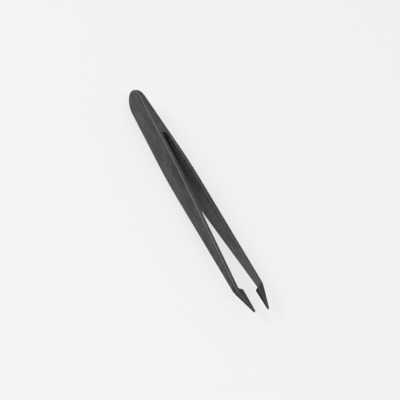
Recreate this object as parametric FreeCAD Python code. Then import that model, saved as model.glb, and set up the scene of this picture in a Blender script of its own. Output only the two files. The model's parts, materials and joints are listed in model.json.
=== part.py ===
"""Precision tweezers: one springy moulding in conductive plastic, drawn as the zones that do separate work.

The closed end is a solid tongue. A long slot starts behind it and frees two arms. Each arm bends in a
spring zone close to the slot's root, stays stiff from the grip onwards, and ends in a wedge-shaped jaw.
X runs from the closed end to the tips, Y is the way the arms open and close, and Z is the arms' width.
The origin is the middle of the lower side: the middle of the bounding box in X and Y, and its lowest Z.
Lengths along X are stated from the closed end while the shape is drawn, and shifted when it is written.
"""
import FreeCAD, Part
import math
import os

from FreeCAD import Vector

# Overall size
overall_length = 115.0
half_width = 5.3
nose_length = 6.9

# Profile across the two arms: half thickness at stations along X
heel_half_thickness = 0.86
knee_x = 40.4
knee_half_thickness = 3.42
bend_x = 103.75
bend_half_thickness = 6.42
knee_blend = 6.0

# Slot between the arms
slot_root_x = 26.8
slot_root_radius = 1.15
slot_bend_half = 5.13

# Width profile, seen from one side
taper_x = 44.5
taper_blend = 10.0
bend_half_width = 1.46
tip_half_width = 0.5
tip_corner = 0.3

# Jaws
ramp_start_x = 104.05
shoulder_x = 104.9
shoulder_half_gap = 3.44
shoulder_blend = 0.12
tip_outer_half = 3.38
tip_half_gap = 3.0
tip_blend = 0.13

# Edge rounding
outer_edge_radius = 0.4
inner_edge_radius = 0.15

# Spring zone: two bending stations in each arm
root_hinge_x = 32.0
mid_hinge_x = 46.0
joint_face_radius = 3.0
joint_clearance = 0.03

# Clearance kept between the closed tips, each side of the middle plane
closed_tip_gap = 0.05

margin = 5.0


def outline(corners, closing_edge=None):
    """Closed wire in the XY plane. A corner is (x, y, blend), and its arc starts and ends blend away.

    The wire runs straight from the last corner to the first, unless it is given a closing edge.
    """
    count = len(corners)
    points = [Vector(x, y, 0) for x, y, blend in corners]
    edges = []
    arc_ends = []
    for i in range(count):
        here = points[i]
        blend = corners[i][2]
        to_last = (points[i - 1] - here).normalize()
        to_next = (points[(i + 1) % count] - here).normalize()
        start = here + to_last * blend
        end = here + to_next * blend
        arc_ends.append((start, end))
        if blend > 0:
            half_angle = to_last.getAngle(to_next) / 2
            radius = blend * math.tan(half_angle)
            bisector = (to_last + to_next).normalize()
            middle = here + bisector * (blend / math.cos(half_angle) - radius)
            edges.append(Part.Arc(start, middle, end).toShape())
    if closing_edge:
        edges.append(closing_edge)
    for i in range(count - 1 if closing_edge else count):
        start = arc_ends[i][1]
        end = arc_ends[(i + 1) % count][0]
        if (end - start).Length > 1e-6:
            edges.append(Part.LineSegment(start, end).toShape())
    return Part.Wire(Part.__sortEdges__(edges))


def mirrored_corners(upper):
    """The corners of the upper half, then the same corners mirrored and in reverse order."""
    return upper + [(x, -y, blend) for x, y, blend in reversed(upper)]


def plan_prism():
    """The tweezers seen along Z, with the slot between the arms, as a prism taller than the part."""
    outer = [
        (0, heel_half_thickness, 0),
        (knee_x, knee_half_thickness, knee_blend),
        (bend_x, bend_half_thickness, 0),
        (overall_length, tip_outer_half, tip_blend),
        (overall_length, tip_half_gap, tip_blend),
        (shoulder_x, shoulder_half_gap, shoulder_blend),
        (ramp_start_x, slot_bend_half, shoulder_blend),
        (slot_root_x, slot_root_radius, slot_root_radius * 0.95),
    ]
    face = Part.Face(outline(mirrored_corners(outer)))
    height = 2 * (half_width + margin)
    return face.extrude(Vector(0, 0, height)).translated(Vector(0, 0, -height / 2))


def side_prism():
    """The tweezers seen along Y: half an ellipse, straight to the taper, then narrowing to the tip."""
    nose = Part.Ellipse(Vector(nose_length, 0, 0), nose_length, half_width)
    nose_edge = Part.ArcOfEllipse(nose, math.pi / 2, 3 * math.pi / 2).toShape()
    upper = [
        (nose_length, half_width, 0),
        (taper_x, half_width, taper_blend),
        (bend_x, bend_half_width, 0),
        (overall_length, tip_half_width, tip_corner),
    ]
    wire = outline(mirrored_corners(upper), nose_edge)
    wire.rotate(Vector(0, 0, 0), Vector(1, 0, 0), 90)
    depth = 2 * (bend_half_thickness + margin)
    return Part.Face(wire).extrude(Vector(0, depth, 0)).translated(Vector(0, -depth / 2, 0))


def box(x_from, x_to, y_from, y_to):
    """A box between two X and two Y stations, taller than the part."""
    height = 2 * (half_width + margin)
    corner = Vector(x_from, y_from, -height / 2)
    return Part.makeBox(x_to - x_from, y_to - y_from, height, corner)


def arm_middle(x):
    """Half way between an arm's inner and outer face, as a distance from the middle plane."""
    outer_end = (0, heel_half_thickness) if x < knee_x else (bend_x, bend_half_thickness)
    outer_slope = (outer_end[1] - knee_half_thickness) / (outer_end[0] - knee_x)
    inner_slope = (slot_bend_half - slot_root_radius) / (ramp_start_x - slot_root_x)
    outer = knee_half_thickness + outer_slope * (x - knee_x)
    inner = slot_root_radius + inner_slope * (x - slot_root_x)
    return (outer + inner) / 2


def beyond_hinge(x, side, radius):
    """Everything of one arm past a bending station: the end is round about the station's own axis."""
    height = 2 * (half_width + margin)
    axis_foot = Vector(x, side * arm_middle(x), -height / 2)
    round_end = Part.makeCylinder(radius, height, axis_foot)
    rest = box(x, overall_length + margin, -2 * margin, 2 * margin)
    own_side = box(0, overall_length + margin, 0, 2 * margin)
    if side < 0:
        own_side = own_side.translated(Vector(0, -2 * margin, 0))
    return round_end.fuse(rest).common(own_side)


def rim_edges(solid, facing):
    """Edges along the rim of the outer faces (facing 1) or the inner faces (facing -1) of the arms."""
    found = []
    for edge in solid.Edges:
        if len(edge.Vertexes) < 2:
            continue
        middle = edge.valueAt((edge.FirstParameter + edge.LastParameter) / 2)
        looks = []
        for face in solid.ancestorsOfType(edge, Part.Face):
            u, v = face.Surface.parameter(middle)
            normal = face.normalAt(u, v)
            looks.append(normal.y * math.copysign(1, middle.y) * facing > 0.9)
        if looks.count(True) == 1 and abs(middle.z) > tip_half_width / 2:
            found.append(edge)
    return found


def body_blank():
    """Closed end and both arms up to the bends, with rounded edges, as one solid to cut the zones from."""
    whole = plan_prism().common(side_prism())
    blank = whole.cut(box(bend_x, overall_length + margin, -2 * margin, 2 * margin))
    blank = blank.makeFillet(outer_edge_radius, rim_edges(blank, 1))
    return blank.makeFillet(inner_edge_radius, rim_edges(blank, -1))


def jaw(side):
    """Wedge beyond the bend: its outer face leans in to the tip, its inner face stands proud of the arm."""
    whole = plan_prism().common(side_prism())
    reach = box(bend_x, overall_length + margin, 0, 2 * margin)
    if side < 0:
        reach = reach.translated(Vector(0, -2 * margin, 0))
    return whole.common(reach)


def closed_end(blank):
    """Solid tongue with the slot's root and the first millimetres of both arms."""
    rest = blank
    for side in (1, -1):
        rest = rest.cut(beyond_hinge(root_hinge_x, side, joint_face_radius + joint_clearance))
    return rest


def spring(blank, side):
    """Stretch of an arm that takes half of the bend at each of its ends."""
    past_root = blank.common(beyond_hinge(root_hinge_x, side, joint_face_radius))
    return past_root.cut(beyond_hinge(mid_hinge_x, side, joint_face_radius + joint_clearance))


def arm(blank, side):
    """Stiff stretch of an arm, held between finger and thumb, from the spring zone to the bend."""
    return blank.common(beyond_hinge(mid_hinge_x, side, joint_face_radius))


def closing_angle():
    """Turn in degrees at each of an arm's two bending stations that brings its tip to the middle plane."""
    reach = (overall_length - root_hinge_x) + (overall_length - mid_hinge_x)
    return math.degrees((tip_half_gap - closed_tip_gap) / reach)


def single_solid(shape):
    """The one solid that a boolean operation left inside its compound."""
    solids = shape.Solids
    assert len(solids) == 1, "a zone fell into %d solids" % len(solids)
    return solids[0]


def write(name, shape):
    """Moves a zone into the part's frame and writes it as a STEP file."""
    solid = single_solid(shape).translated(Vector(-overall_length / 2, 0, half_width))
    solid.exportStep("parts/%s.step" % name)
    room = solid.BoundBox
    print("%-12s %8.1f mm3  x %7.2f..%6.2f  y %6.2f..%5.2f  z %5.2f..%5.2f" % (
        name, solid.Volume, room.XMin, room.XMax, room.YMin, room.YMax, room.ZMin, room.ZMax))
    return solid


os.makedirs("parts", exist_ok=True)
blank = body_blank()
pieces = [write("closed_end", closed_end(blank))]
for side_name, side in (("left", 1), ("right", -1)):
    pieces.append(write(side_name + "_spring", spring(blank, side)))
    pieces.append(write(side_name + "_arm", arm(blank, side)))
    pieces.append(write(side_name + "_jaw", jaw(side)))
    for hinge_x in (root_hinge_x, mid_hinge_x):
        print(side_name, "bending station at x %.3f, y %.3f" % (
            hinge_x - overall_length / 2, side * arm_middle(hinge_x)))
print("closing angle at each station: %.3f degrees" % closing_angle())
print("all solids closed:", all(piece.isValid() and piece.isClosed() for piece in pieces))
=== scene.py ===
# %% [markdown]
# # Precision tweezers in moulded conductive plastic
# The real tool is a single moulding. A solid, rounded tongue closes one end. A long slot starts behind
# it and frees two springy arms, which taper along their length and end in wedge-shaped jaws.
# The CAD frame holds the sizes and the motion. This script makes the surfaces that are seen: each zone
# of the moulding becomes one mesh, and neighbouring meshes meet on flat seams where nothing bends, so
# that together they read as one unbroken piece of plastic.

# %% Load the frame
import json
import math

import bmesh
import bpy
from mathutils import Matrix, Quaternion, Vector


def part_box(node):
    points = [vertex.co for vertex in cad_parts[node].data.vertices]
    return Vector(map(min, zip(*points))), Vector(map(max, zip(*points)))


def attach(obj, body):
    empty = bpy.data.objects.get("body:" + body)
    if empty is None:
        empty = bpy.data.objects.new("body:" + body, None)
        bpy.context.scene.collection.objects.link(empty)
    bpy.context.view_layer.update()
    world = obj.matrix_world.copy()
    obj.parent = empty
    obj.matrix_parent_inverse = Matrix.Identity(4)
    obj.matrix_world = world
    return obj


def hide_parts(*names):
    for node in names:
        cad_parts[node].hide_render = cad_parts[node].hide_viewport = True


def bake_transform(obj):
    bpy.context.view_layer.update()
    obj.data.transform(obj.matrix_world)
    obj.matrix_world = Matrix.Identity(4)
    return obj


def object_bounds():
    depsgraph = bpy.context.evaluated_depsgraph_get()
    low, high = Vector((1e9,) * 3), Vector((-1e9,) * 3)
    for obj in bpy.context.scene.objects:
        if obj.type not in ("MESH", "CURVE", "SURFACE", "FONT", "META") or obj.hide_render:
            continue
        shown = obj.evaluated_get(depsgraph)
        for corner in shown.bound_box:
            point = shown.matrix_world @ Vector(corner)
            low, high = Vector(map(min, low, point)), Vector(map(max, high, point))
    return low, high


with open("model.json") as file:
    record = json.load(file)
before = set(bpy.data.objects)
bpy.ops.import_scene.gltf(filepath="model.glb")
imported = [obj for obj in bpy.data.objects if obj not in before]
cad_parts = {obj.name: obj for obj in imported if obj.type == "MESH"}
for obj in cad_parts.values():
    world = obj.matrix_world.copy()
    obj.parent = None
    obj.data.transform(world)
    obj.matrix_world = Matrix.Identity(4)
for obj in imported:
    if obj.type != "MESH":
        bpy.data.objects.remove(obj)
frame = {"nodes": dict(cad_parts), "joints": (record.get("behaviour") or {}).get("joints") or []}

cad_low, cad_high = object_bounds()
print("CAD box in mm:", [round(1000 * size, 2) for size in cad_high - cad_low])

# %% [markdown]
# ## Sizes
# X runs from the closed end to the tips, Y is the way the arms open, and Z is the width of the arms.
# The ends, the width and the place of the bend come from the frame. The other sizes are the driving
# dimensions of the moulding, in millimetres, with distances along X counted from the closed end. The
# seams are the planes where two meshes of one arm meet.

# %% Driving dimensions
MM = 0.001
heel_x = cad_low.x
tip_x = cad_high.x
middle_z = (cad_low.z + cad_high.z) / 2
half_width = (cad_high.z - cad_low.z) / 2
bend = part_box("left_jaw")[0].x - heel_x
length = tip_x - heel_x

nose_length = 6.9 * MM
heel_half_thickness = 0.86 * MM
knee = 40.4 * MM
knee_half_thickness = 3.42 * MM
knee_blend = 6.0 * MM
bend_half_thickness = cad_high.y
slot_root = 26.8 * MM
slot_root_radius = 1.15 * MM
slot_bend_half = 5.13 * MM
taper = 44.5 * MM
taper_blend = 10.0 * MM
bend_half_width = 1.46 * MM
ramp = 104.05 * MM
shoulder = 104.9 * MM
shoulder_half_gap = 3.44 * MM
tip_outer_half = 3.38 * MM
tip_half_gap = 3.0 * MM
tip_half_width = 0.5 * MM

spring_seam = 28.0 * MM
arm_seam = 38.0 * MM
jaw_seam = 101.5 * MM
print("length %.1f mm, width %.1f mm, bend at %.1f mm" % (length / MM, 2 * half_width / MM, bend / MM))

# %% [markdown]
# ## The profile as three functions
# Seen from above, an arm lies between an outer and an inner line. Seen from the side, its width is
# straight and then tapers. The inner line is straight. The outer line and the width are two straight
# stretches with a kink. A real mould has no sharp kink there, so a parabola rounds it: it leaves one
# stretch and meets the next with the same slope.

# %% Profile functions
def kinked(x, first, kink, last, blend):
    """Height at x of the line first, kink, last, with the kink rounded over blend on both sides."""
    slope_before = (kink[1] - first[1]) / (kink[0] - first[0])
    slope_after = (last[1] - kink[1]) / (last[0] - kink[0])
    if x <= kink[0] - blend:
        return kink[1] + slope_before * (x - kink[0])
    if x >= kink[0] + blend:
        return kink[1] + slope_after * (x - kink[0])
    turned = (slope_after - slope_before) * (x - kink[0] + blend) ** 2 / (4 * blend)
    return kink[1] + slope_before * (x - kink[0]) + turned


def outer_half(x):
    """Distance of the outer face from the middle plane."""
    heel = (0, heel_half_thickness)
    middle = (knee, knee_half_thickness)
    return kinked(x, heel, middle, (bend, bend_half_thickness), knee_blend)


def inner_half(x):
    """Distance of the inner face from the middle plane."""
    share = (x - slot_root) / (ramp - slot_root)
    return slot_root_radius + share * (slot_bend_half - slot_root_radius)


def width_half(x):
    """Half the width of the arm."""
    return kinked(x, (0, half_width), (taper, half_width), (bend, bend_half_width), taper_blend)


for x in (30, 45, 60, 80, 100):
    thick = (outer_half(x * MM) - inner_half(x * MM)) / MM
    print("at %3d mm: arm %.2f mm thick, %.2f mm wide" % (x, thick, 2 * width_half(x * MM) / MM))

# %% [markdown]
# ## Working by selection
# Blender's operators act on whatever is selected. Three small helpers keep that under control: one
# leaves a single object selected, one enters edit mode with nothing selected, and one picks vertices,
# edges or faces by where they are.

# %% Selection helpers
def only(piece):
    """Leaves one object selected and active, in object mode."""
    if bpy.context.mode != "OBJECT":
        bpy.ops.object.mode_set(mode="OBJECT")
    bpy.ops.object.select_all(action="DESELECT")
    piece.select_set(True)
    bpy.context.view_layer.objects.active = piece


def edit(piece, mode):
    """Opens the piece in edit mode with nothing selected. Mode is VERT, EDGE or FACE."""
    only(piece)
    bpy.ops.object.mode_set(mode="EDIT")
    bpy.ops.mesh.select_mode(type=mode)
    bpy.ops.mesh.select_all(action="DESELECT")


def pick(piece, test, kind="verts"):
    """Selects the vertices, edges or faces whose middle passes the test, and nothing else."""
    bpy.ops.mesh.select_all(action="DESELECT")
    mesh = bmesh.from_edit_mesh(piece.data)
    count = 0
    for part in getattr(mesh, kind):
        if kind == "verts":
            middle = part.co
        elif kind == "edges":
            middle = (part.verts[0].co + part.verts[1].co) / 2
        else:
            middle = part.calc_center_median()
        if test(part, middle):
            part.select = True
            count += 1
    mesh.select_flush_mode()
    bmesh.update_edit_mesh(piece.data)
    return count


def settle(piece, name):
    """Puts the object's origin at the frame's origin, unturned and unscaled, and names the piece."""
    only(piece)
    bpy.ops.object.transform_apply(location=True, rotation=True, scale=True)
    piece.name = name
    piece.data.name = name
    return piece


def apply_modifier(piece, kind, **settings):
    """Adds a modifier, sets it and applies it."""
    only(piece)
    modifier = piece.modifiers.new(kind.title(), kind)
    for key, value in settings.items():
        setattr(modifier, key, value)
    bpy.ops.object.modifier_apply(modifier=modifier.name)


# %% [markdown]
# ## A bar drawn through stations
# An arm is a bar whose section is a rectangle that changes all the way. It could be a box pushed into
# shape, but then the taper and the thickness would be hard to steer. Instead one face is extruded from
# station to station. After each step its width is scaled, and its outer and its inner pair of corners
# are moved to where the profile functions say.

# %% Bar through stations
def draw_bar(name, stations):
    """Extrudes a face through stations, each (x outer, y outer, x inner, y inner, half width)."""
    x_outer, y_outer, x_inner, y_inner, half = stations[0]
    centre = Vector((heel_x + x_outer, (y_outer + y_inner) / 2, middle_z))
    bpy.ops.object.select_all(action="DESELECT")
    bpy.ops.mesh.primitive_plane_add(size=1, location=centre, rotation=(0, math.pi / 2, 0))
    bar = settle(bpy.context.object, name)
    edit(bar, "VERT")
    bpy.ops.mesh.select_all(action="SELECT")
    scale = (1, y_outer - y_inner, 2 * half)
    bpy.ops.transform.resize(value=scale, center_override=centre)
    for step, last in zip(stations[1:], stations):
        bpy.ops.mesh.extrude_region_move(TRANSFORM_OT_translate={"value": (0, 0, 0)})
        on_axis = Vector((heel_x, 0, middle_z))
        bpy.ops.transform.resize(value=(1, 1, step[4] / last[4]), center_override=on_axis)
        mesh = bmesh.from_edit_mesh(bar.data)
        ends = sorted((v for v in mesh.verts if v.select), key=lambda v: v.co.y)
        moves = ((ends[:2], step[2] - last[2], step[3] - last[3]),
                 (ends[2:], step[0] - last[0], step[1] - last[1]))
        for pair, along, across in moves:
            bpy.ops.mesh.select_all(action="DESELECT")
            for corner in pair:
                corner.select = True
            bpy.ops.transform.translate(value=(along, across, 0))
        for corner in ends:
            corner.select = True
        mesh.select_flush_mode()
        bmesh.update_edit_mesh(bar.data)
    bpy.ops.mesh.select_all(action="SELECT")
    bpy.ops.mesh.normals_make_consistent(inside=False)
    bpy.ops.object.mode_set(mode="OBJECT")
    return bar


def plain_station(x):
    """The arm's section at x, square to the long axis."""
    return (x, outer_half(x), x, inner_half(x), width_half(x))


def spaced(start, end, step):
    """Stations from start to end, evenly spaced, no further apart than step."""
    count = math.ceil((end - start) / step - 1e-6)
    return [start + (end - start) * i / count for i in range(count + 1)]


# %% [markdown]
# ## Rounded edges
# A mould never gives a sharp edge: the cutter that made it leaves a small radius, and it is this radius
# that catches the light as a thin bright line along each arm, helped by a painted highlight in the rims'
# colour. The Bevel modifier can round edges by weight. So each edge gets the radius that it needs, found
# from the faces beside it, and the modifier rounds them all at once. The radius shrinks towards the
# jaws, as the arms do.

# %% Edge rounding
outer_radius = 0.45 * MM
outer_radius_at_bend = 0.35 * MM
inner_radius = 0.15 * MM
jaw_rim_radius = 0.35 * MM
tip_radius = 0.14 * MM
crease_radius = 0.28 * MM


def rim_radius(edge, middle):
    """Radius of one edge, from where it lies and which way its broad and its narrow face look."""
    x = middle.x - heel_x
    if any(abs(x - seam) < 0.01 * MM for seam in (spring_seam, arm_seam, jaw_seam)):
        return 0
    broad, narrow = sorted((f.normal for f in edge.link_faces), key=lambda n: abs(n.z) - abs(n.y))
    if x > nose_length and abs(narrow.z) < 0.5:
        return 0
    outward = broad.y * math.copysign(1, middle.y)
    if outward > 0.5:
        share = min(1, max(0, (x - knee) / (bend - knee)))
        return outer_radius + share * (outer_radius_at_bend - outer_radius)
    return inner_radius if outward < -0.3 or broad.x > 0.5 else 0


def round_edges(piece, radius_of, segments=4):
    """Rounds each edge by the radius that radius_of gives it, in metres, with one Bevel modifier."""
    only(piece)
    mesh = bmesh.new()
    mesh.from_mesh(piece.data)
    radii = [radius_of(e, (e.verts[0].co + e.verts[1].co) / 2) for e in mesh.edges]
    mesh.free()
    widest = max(radii)
    weights = piece.data.attributes.new("bevel_weight_edge", "FLOAT", "EDGE")
    weights.data.foreach_set("value", [radius / widest for radius in radii])
    apply_modifier(piece, "BEVEL", width=widest, segments=segments, limit_method="WEIGHT",
                   use_clamp_overlap=False)


def finish_zone(piece):
    """Merges doubles, points the faces outwards, and says what was made."""
    edit(piece, "VERT")
    bpy.ops.mesh.select_all(action="SELECT")
    bpy.ops.mesh.remove_doubles(threshold=0.001 * MM)
    bpy.ops.mesh.normals_make_consistent(inside=False)
    bpy.ops.object.mode_set(mode="OBJECT")
    print(piece.name, len(piece.data.vertices), "vertices,", len(piece.data.polygons), "faces")


# %% [markdown]
# ## Spring and arm
# The spring zone bends where the frame has its first pair of hinges, the arm bends over the second pair.
# Each mesh spans one of them only, so the seams between the meshes lie in the straight stretches
# between. Stations stand close together where the plastic bends, and wide apart where it stays straight.

# %% Spring and arm of the left side
bending_end = 56.0 * MM

spring_stations = [plain_station(x) for x in spaced(spring_seam, arm_seam, 1.0 * MM)]
left_spring = draw_bar("left_spring_skin", spring_stations)
round_edges(left_spring, rim_radius)
finish_zone(left_spring)

arm_places = spaced(arm_seam, bending_end, 1.0 * MM) + spaced(bending_end, jaw_seam, 3.5 * MM)[1:]
left_arm = draw_bar("left_arm_skin", [plain_station(x) for x in arm_places])
round_edges(left_arm, rim_radius)
finish_zone(left_arm)

# %% [markdown]
# ## Jaw
# At the bend the outer face turns inwards, while the inner face steps inwards over a slanted shoulder.
# From there both run straight to the tip, so the jaw is a wedge seen from above and from the side.
# The bar's outer and inner corners can stand at different places along X, which makes both turns with
# one station each.

# %% Jaw of the left side
def jaw_station(x_outer, y_outer, x_inner, y_inner):
    """A station of the jaw, whose half width runs straight from the bend to the tip."""
    share = max(0, (x_outer - bend) / (length - bend))
    half = bend_half_width + share * (tip_half_width - bend_half_width)
    return (x_outer, y_outer, x_inner, y_inner, half)


def jaw_outer(x):
    """Distance of the jaw's outer face from the middle plane."""
    share = (x - bend) / (length - bend)
    return bend_half_thickness + share * (tip_outer_half - bend_half_thickness)


def jaw_radius(edge, middle):
    """Radius of one edge of the jaw: smaller towards the tip, and larger across the bend's crease."""
    looks = [face.normal for face in edge.link_faces]
    x = middle.x - heel_x
    if x < jaw_seam + 0.1 * MM:
        return 0
    crosswise = abs(edge.verts[0].co.z - edge.verts[1].co.z) > tip_half_width / 2
    if crosswise and x < length - 1 * MM:
        return crease_radius / 2 if looks[0].y < 0 else crease_radius
    share = min(1, max(0, (x - bend) / (length - bend)))
    if x > length - 0.5 * MM:
        return tip_radius
    near = jaw_rim_radius if looks[0].y + looks[1].y > 0.5 else inner_radius
    return near + share * (tip_radius - near)


jaw_stations = [
    plain_station(jaw_seam),
    jaw_station(bend, bend_half_thickness, ramp, inner_half(ramp)),
    jaw_station(shoulder, jaw_outer(shoulder), shoulder, shoulder_half_gap),
    jaw_station(length, tip_outer_half, length, tip_half_gap),
]
left_jaw = draw_bar("left_jaw_skin", jaw_stations)
round_edges(left_jaw, jaw_radius)
finish_zone(left_jaw)

# %% [markdown]
# ## The right side
# The moulding is the same on both sides of its middle plane. So the three left pieces are duplicated,
# turned over across that plane by a scale of -1 along Y, and their faces are flipped, since a mirrored
# mesh is inside out.

# %% Mirror to the right
def mirrored(piece, name):
    """A copy of the piece with its own mesh, mirrored across the middle plane."""
    only(piece)
    bpy.ops.object.duplicate()
    copy = bpy.context.object
    copy.name = name
    copy.data.name = name
    edit(copy, "VERT")
    bpy.ops.mesh.select_all(action="SELECT")
    bpy.ops.transform.resize(value=(1, -1, 1), center_override=(0, 0, 0))
    bpy.ops.mesh.normals_make_consistent(inside=False)
    bpy.ops.object.mode_set(mode="OBJECT")
    return copy


right_spring = mirrored(left_spring, "right_spring_skin")
right_arm = mirrored(left_arm, "right_arm_skin")
right_jaw = mirrored(left_jaw, "right_jaw_skin")

# %% [markdown]
# ## Closed end
# The tongue starts as a block. Two of its edges are bevelled by half the width, which turns one end into
# a half circle, and a stretch along X makes the circle an ellipse. Then the block is sawn along the two
# slanted outer planes, and the round end of the slot is cut out of it with a second, thinner bar.

# %% Tongue and slot root
def block(name, low, high):
    """A cube primitive stretched to fill the box between two corners."""
    low, high = Vector(low), Vector(high)
    bpy.ops.object.select_all(action="DESELECT")
    bpy.ops.mesh.primitive_cube_add(size=1, location=(low + high) / 2)
    bpy.context.object.scale = high - low
    return settle(bpy.context.object, name)


def saw(piece, point, direction):
    """Cuts off everything beyond a plane and closes the cut."""
    edit(piece, "FACE")
    bpy.ops.mesh.select_all(action="SELECT")
    bpy.ops.mesh.bisect(plane_co=point, plane_no=direction, use_fill=True, clear_outer=True)
    bpy.ops.object.mode_set(mode="OBJECT")


seam_x = heel_x + spring_seam
spare = 1.0 * MM
nose_foot = heel_x + nose_length
block_start = nose_foot - half_width
low_corner = (block_start, -knee_half_thickness, middle_z - half_width)
high_corner = (seam_x, knee_half_thickness, middle_z + half_width)
closed_end = block("closed_end_skin", low_corner, high_corner)
edit(closed_end, "EDGE")
found = pick(closed_end, lambda e, m: abs(m.x - block_start) < 1e-6 and abs(m.y) < 1e-6, "edges")
bpy.ops.mesh.bevel(offset=half_width, segments=32, affect="EDGES")
bpy.ops.mesh.select_all(action="SELECT")
bpy.ops.mesh.remove_doubles(threshold=0.001 * MM)
bpy.ops.mesh.select_mode(type="VERT")
pick(closed_end, lambda v, m: m.x < nose_foot - 0.001 * MM)
bpy.ops.transform.resize(value=(nose_length / half_width, 1, 1), center_override=(nose_foot, 0, 0))
bpy.ops.object.mode_set(mode="OBJECT")
print("heel edges bevelled:", found, "- points now", len(closed_end.data.vertices))

heel_slope = (knee_half_thickness - heel_half_thickness) / knee
for side in (1, -1):
    heel_corner = (heel_x, side * heel_half_thickness, middle_z)
    saw(closed_end, heel_corner, Vector((-heel_slope, side, 0)).normalized())

root_end = spring_seam + spare
cutter_half = half_width + spare
cutter = draw_bar("slot_cutter", [
    (slot_root, slot_root_radius, slot_root, -slot_root_radius, cutter_half),
    (root_end, inner_half(root_end), root_end, -inner_half(root_end), cutter_half),
])
edit(cutter, "EDGE")
upright = lambda e, m: abs(m.x - heel_x - slot_root) < 1e-6 and abs(m.z - middle_z) < 1e-6
found = pick(cutter, upright, "edges")
bpy.ops.mesh.bevel(offset=0.98 * slot_root_radius, segments=14, affect="EDGES")
bpy.ops.object.mode_set(mode="OBJECT")
print("slot root edges bevelled:", found)
apply_modifier(closed_end, "BOOLEAN", operation="DIFFERENCE", solver="EXACT", object=cutter)
bpy.data.objects.remove(cutter)
round_edges(closed_end, rim_radius)
finish_zone(closed_end)

# %% [markdown]
# ## Flat faces that look flat
# Smooth shading blends the normals of neighbouring faces, so a broad face beside a rounded edge seems
# to bulge. The Weighted Normal modifier lets the largest face decide at each corner: broad faces stay
# flat, and all the turning happens on the narrow faces of the rounding.

# %% Even shading
for piece in [closed_end, left_spring, left_arm, left_jaw, right_spring, right_arm, right_jaw]:
    only(piece)
    bpy.ops.object.shade_smooth_by_angle(angle=math.radians(35))
    apply_modifier(piece, "WEIGHTED_NORMAL", mode="FACE_AREA", weight=50, keep_sharp=True)
    print(piece.name, "has corner normals:", piece.data.has_custom_normals)

# %% [markdown]
# ## What moves with what
# The tongue and the jaws are rigid: they ride on one body each. The spring and arm meshes have their
# placement baked into their points and ride on no body.

# %% Ride and stand in for the CAD nodes
def hinge_place(name):
    """Where a joint's axis crosses X."""
    return next(j["pos_m"][0] for j in frame["joints"] if j["name"] == name)


root_hinge = hinge_place("left_spring_bend")
mid_hinge = hinge_place("left_arm_bend")
root_reach = 3.9 * MM
mid_reach = 7.0 * MM

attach(closed_end, "closed_end")
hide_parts("closed_end")
sides = {"left": (left_spring, left_arm, left_jaw), "right": (right_spring, right_arm, right_jaw)}
for side_name, (spring, arm, jaw) in sides.items():
    spring_body = side_name + "_spring"
    arm_body = side_name + "_arm"
    root_hinge - root_reach
    root_hinge + root_reach
    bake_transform(spring)
    mid_hinge - mid_reach
    mid_hinge + mid_reach
    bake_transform(arm)
    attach(jaw, arm_body)
    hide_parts(spring_body)
    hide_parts(arm_body)
    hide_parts(side_name + "_jaw")
pieces = [closed_end] + [piece for group in sides.values() for piece in group]
print("first hinge at %.1f mm, second at %.1f mm from the closed end" % (
    (root_hinge - heel_x) / MM, (mid_hinge - heel_x) / MM))

# %% [markdown]
# ## Shader maths as expressions
# A procedural finish is a small calculation at every point of the surface. Written as nodes it is hard
# to read, so one class wraps a socket and turns +, -, * and / into Math nodes, and one method adds any
# other node.

# %% Socket arithmetic and node maker
class Value:
    """A number that varies over the surface. Arithmetic on it adds Math nodes."""

    def __init__(self, finish, socket):
        self.finish = finish
        self.socket = socket

    def _math(self, operation, first, second):
        return self.finish.add("ShaderNodeMath", {"operation": operation}, {0: first, 1: second})

    def __add__(self, other):
        return self._math("ADD", self, other)

    def __sub__(self, other):
        return self._math("SUBTRACT", self, other)

    def __rsub__(self, other):
        return self._math("SUBTRACT", other, self)

    def __mul__(self, other):
        return self._math("MULTIPLY", self, other)

    __radd__ = __add__
    __rmul__ = __mul__


class Finish:
    """A material being made, with its Principled shader at hand."""

    def __init__(self, name):
        self.material = bpy.data.materials.new(name)
        self.material.use_nodes = True
        self.tree = self.material.node_tree
        self.shader = self.tree.nodes["Principled BSDF"]

    def add(self, kind, settings=None, inputs=None, output=0):
        """Adds a node: its settings first, then a value or a link for each input. Gives one output."""
        node = self.tree.nodes.new(kind)
        for key, setting in (settings or {}).items():
            setattr(node, key, setting)
        for key, given in (inputs or {}).items():
            self.feed(node.inputs[key], given)
        return Value(self, node.outputs[output])

    def feed(self, socket, given):
        """Links a Value to a socket, or sets the socket to a plain value."""
        if isinstance(given, Value):
            self.tree.links.new(given.socket, socket)
        else:
            socket.default_value = given


# %% [markdown]
# ## Where the finish changes
# The rims of the moulding carry a painted highlight: their colour is lighter than the skin. The gripping
# faces of the jaws are rougher, so that they hold, and darker, with both fading over the sides of the
# jaws;
# the fine crease across each bend gets the same dark colour as painted shade. A shader can't know which
# face it is on, so the mesh tells it: each face gets a number for the rim, from the way it leans between
# a broad and a narrow side, and each gripping face and crease a second number. A third marks the inner
# faces of the arms, which are coloured paler as painted light inside the slot.

# %% Rim, grip and inner attributes
def mark(piece, name, amount_of):
    """Stores a number on each face, for the shader to read."""
    values = [amount_of(face) for face in piece.data.polygons]
    layer = piece.data.attributes.new(name, "FLOAT", "FACE")
    layer.data.foreach_set("value", values)
    return sum(values)


def rim_amount(face):
    """0 on a broad or a narrow side, and up to 1 half way round the edge between them."""
    upright = abs(face.normal.z) < 0.05
    if upright and face.center.x > heel_x + nose_length:
        return 0.0
    lean = face.normal.y ** 2
    return 4 * lean * (1 - lean)


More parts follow.
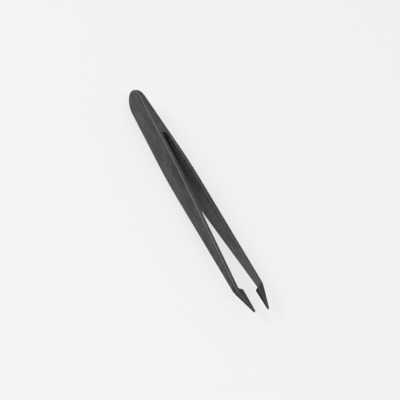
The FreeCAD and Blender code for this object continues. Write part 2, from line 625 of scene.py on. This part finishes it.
def grip_and_crease_shade_amount(face):
    """1 where the jaws meet and on the fine crease across each bend, where the dark colour is painted
    shade, less on the jaws' sides.
    """
    x = face.center.x - heel_x
    outward = math.copysign(1, face.center.y) * face.normal.y
    if x > shoulder and outward < -0.9:
        return 1.0
    if x > bend and abs(face.normal.z) > 0.95:
        return 0.45
    in_crease = abs(x - bend) < 0.8 * crease_radius and abs(face.normal.z) < 0.3
    return 1.0 if in_crease and outward > 0.5 else 0.0


def inner_amount(face):
    """1 on the inner faces of the arms, from the slot's root to the jaws."""
    x = face.center.x - heel_x
    outward = math.copysign(1, face.center.y) * face.normal.y
    return 1.0 if slot_root < x < ramp and outward < -0.5 else 0.0


for piece in pieces:
    rim_sum = mark(piece, "rim", rim_amount)
    grip_and_crease_shade_sum = mark(piece, "grip", grip_and_crease_shade_amount)
    inner_sum = mark(piece, "inner", inner_amount)
    print(piece.name, "rim %.0f, grip %.0f, inner %.0f" % (rim_sum, grip_and_crease_shade_sum, inner_sum))

# %% [markdown]
# ## Conductive plastic
# The resin is filled with carbon, which makes it nearly black. It looks dark grey only because its
# satin skin mirrors the bright room. The skin shows a fine spark-eroded grain, a mottling where the
# filler is denser, and long streaks that the melt left as it flowed from the closed end to the tips.
# Colour and roughness vary together: where more resin lies on top it is darker and smoother.
# The colour is also painted lighter towards the floor and darker towards the top, as painted shade.

# %% Filled plastic
grain_size = 0.18 * MM
mottle_size = 1.5 * MM
flow_size = 3.2 * MM
flow_stretch = 6.0
black = 0.002
grey = 0.046
# Painted highlight: the colour of the rims, lighter than the skin.
painted_rim_highlight_grey = 0.115
# Painted light: the arms' inner faces are coloured paler, standing in for light reaching into the slot.
painted_slot_light_grey = 0.062
# Dark colour of the jaws' gripping faces and sides, and painted shade in the crease across each bend.
grip_and_crease_shade_grey = 0.008
skin_roughness = 0.42
rim_roughness = 0.50
grip_roughness = 0.75


def filled_plastic():
    """Satin, nearly black plastic: grain, mottling, flow streaks, dark dull jaws, painted shade on top
    and in creases, painted rim highlights and painted light on inner faces.
    """
    finish = Finish("filled_plastic")
    place = finish.add("ShaderNodeTexCoord", output="Object")

    def noise(size, detail, stretch=1.0, seed=0.0):
        spread = finish.add("ShaderNodeMapping", inputs={
            "Vector": place, "Location": (seed, seed, seed), "Scale": (1 / stretch, 1, 1)})
        return finish.add("ShaderNodeTexNoise", inputs={
            "Vector": spread, "Scale": 1 / size, "Detail": detail, "Roughness": 0.6})

    def level(value, low, high):
        return finish.add("ShaderNodeMapRange", {"clamp": True}, {
            "Value": value, "From Min": low, "From Max": high})

    def mixed(share, first, second):
        return finish.add("ShaderNodeMix", {"data_type": "RGBA"}, {
            "Factor": share, "A": first, "B": second}, output=2)

    def neutral(amount):
        return (amount, amount, amount, 1)

    grain = noise(grain_size, 3.0)
    mottle = noise(mottle_size, 4.0, stretch=1.5, seed=0.31)
    across = finish.add("ShaderNodeSeparateXYZ", inputs={"Vector": place}, output="Z")
    # Painted shade: the colour gets lighter towards the floor and darker towards the top.
    painted_height_shade = (middle_z - across) * (1 / half_width)
    flow = noise(flow_size, 3.0, stretch=flow_stretch, seed=0.77)
    shade = level(mottle * 0.45 + flow * 0.4 + grain * 0.15 + painted_height_shade * 0.07, 0.39, 0.63)
    rim = finish.add("ShaderNodeAttribute", {"attribute_name": "rim"}, output="Fac")
    grip = finish.add("ShaderNodeAttribute", {"attribute_name": "grip"}, output="Fac")
    inner = finish.add("ShaderNodeAttribute", {"attribute_name": "inner"}, output="Fac")
    # The rims get a painted highlight, a colour lighter than the skin.
    painted_rim_highlight_share = rim * 0.8
    colour = mixed(shade, neutral(black), neutral(grey))
    colour = mixed(painted_rim_highlight_share, colour, neutral(painted_rim_highlight_grey))
    # The arms' inner faces are painted paler: painted light inside the slot.
    colour = mixed(inner * (0.6 + (shade - 0.5) * 0.5), colour, neutral(painted_slot_light_grey))
    # The jaws' gripping faces and sides are darkened, and the crease across each bend is painted darker
    # as painted shade.
    colour = mixed(grip, colour, neutral(grip_and_crease_shade_grey))
    roughness = skin_roughness + (mottle - 0.5) * 0.20 + (grain - 0.5) * 0.12
    roughness = roughness + grip * (grip_roughness - skin_roughness)
    roughness = roughness + rim * (rim_roughness - skin_roughness)
    height = grain * 0.7 + noise(grain_size * 2.4, 2.0, seed=0.13) * 0.3
    bump = finish.add("ShaderNodeBump", inputs={
        "Strength": 0.3, "Distance": 0.01 * MM, "Height": height})
    finish.feed(finish.shader.inputs["Base Color"], colour)
    finish.feed(finish.shader.inputs["Roughness"], roughness)
    finish.feed(finish.shader.inputs["Normal"], bump)
    finish.shader.inputs["Specular IOR Level"].default_value = 0.32
    return finish.material


plastic = filled_plastic()
for piece in pieces:
    piece.data.materials.clear()
    piece.data.materials.append(plastic)
for node in frame["nodes"].values():
    node.data.materials.clear()
    node.data.materials.append(plastic)

# %% [markdown]
# ## Floor, light and camera
# A product picture of a dark satin part is lit by what it mirrors. The floor is a light table, pale and
# glowing, so the outer faces mirror it and hardly any shadow falls. A large panel beyond the tips lights
# the narrow sides, and a small strong one low in front draws the bright line along the rims. Weak
# panels behind keep the far side from going black.

# %% Floor
floor_half = 3.0
bpy.ops.object.select_all(action="DESELECT")
bpy.ops.mesh.primitive_plane_add(size=2 * floor_half, location=(0, 0, cad_low.z))
floor = settle(bpy.context.object, "floor")
paper = Finish("light_table")
paper.shader.inputs["Base Color"].default_value = (0.15, 0.15, 0.15, 1)
paper.shader.inputs["Roughness"].default_value = 0.9
paper.shader.inputs["Specular IOR Level"].default_value = 0.0
paper.shader.inputs["Emission Color"].default_value = (1, 1, 1, 1)
paper.shader.inputs["Emission Strength"].default_value = 0.69
floor.data.materials.append(paper.material)

# %% Light
def panel(name, azimuth, elevation, size, power):
    """A square area light a metre away that points at the object. Azimuth 0 is on the -Y side."""
    turn, rise = math.radians(azimuth), math.radians(elevation)
    place = Vector((math.sin(turn) * math.cos(rise), -math.cos(turn) * math.cos(rise), math.sin(rise)))
    bpy.ops.object.light_add(type="AREA", location=place)
    light = bpy.context.object
    light.name = name
    light.data.size = size
    light.data.energy = power
    light.rotation_mode = "QUATERNION"
    light.rotation_quaternion = (-place).to_track_quat("-Z", "Y")


world = bpy.data.worlds.new("studio")
bpy.context.scene.world = world
world.use_nodes = True
world.node_tree.nodes["Background"].inputs["Color"].default_value = (1, 1, 1, 1)
world.node_tree.nodes["Background"].inputs["Strength"].default_value = 0.40
panel("tip_panel", azimuth=90, elevation=52, size=0.5, power=5.0)
panel("rim_panel", azimuth=336, elevation=33, size=0.36, power=8.0)
panel("left_panel", azimuth=270, elevation=40, size=0.45, power=0.8)
panel("mirror_panel", azimuth=225, elevation=45, size=0.45, power=1.6)
panel("back_panel", azimuth=228, elevation=14, size=0.6, power=0.6)

# %% Camera
camera_azimuth = math.radians(42.77)
camera_elevation = math.radians(42.86)
camera_roll = math.radians(26.91)
camera_distance = 0.7464
bpy.ops.object.camera_add()
camera = bpy.context.object
back = Vector((math.sin(camera_azimuth) * math.cos(camera_elevation),
               -math.cos(camera_azimuth) * math.cos(camera_elevation),
               math.sin(camera_elevation)))
camera.location = Vector((0, 0, middle_z)) + back * camera_distance
camera.rotation_mode = "QUATERNION"
camera.rotation_quaternion = (-back).to_track_quat("-Z", "Y") @ Quaternion((0, 0, 1), camera_roll)
camera.data.sensor_width = 36.0
camera.data.lens = 170.5
camera.data.shift_x = 0.0149
camera.data.shift_y = -0.0064
camera.data.clip_start = 0.01
camera.data.clip_end = 10.0
bpy.context.scene.camera = camera
bpy.context.scene.view_settings.view_transform = "Standard"
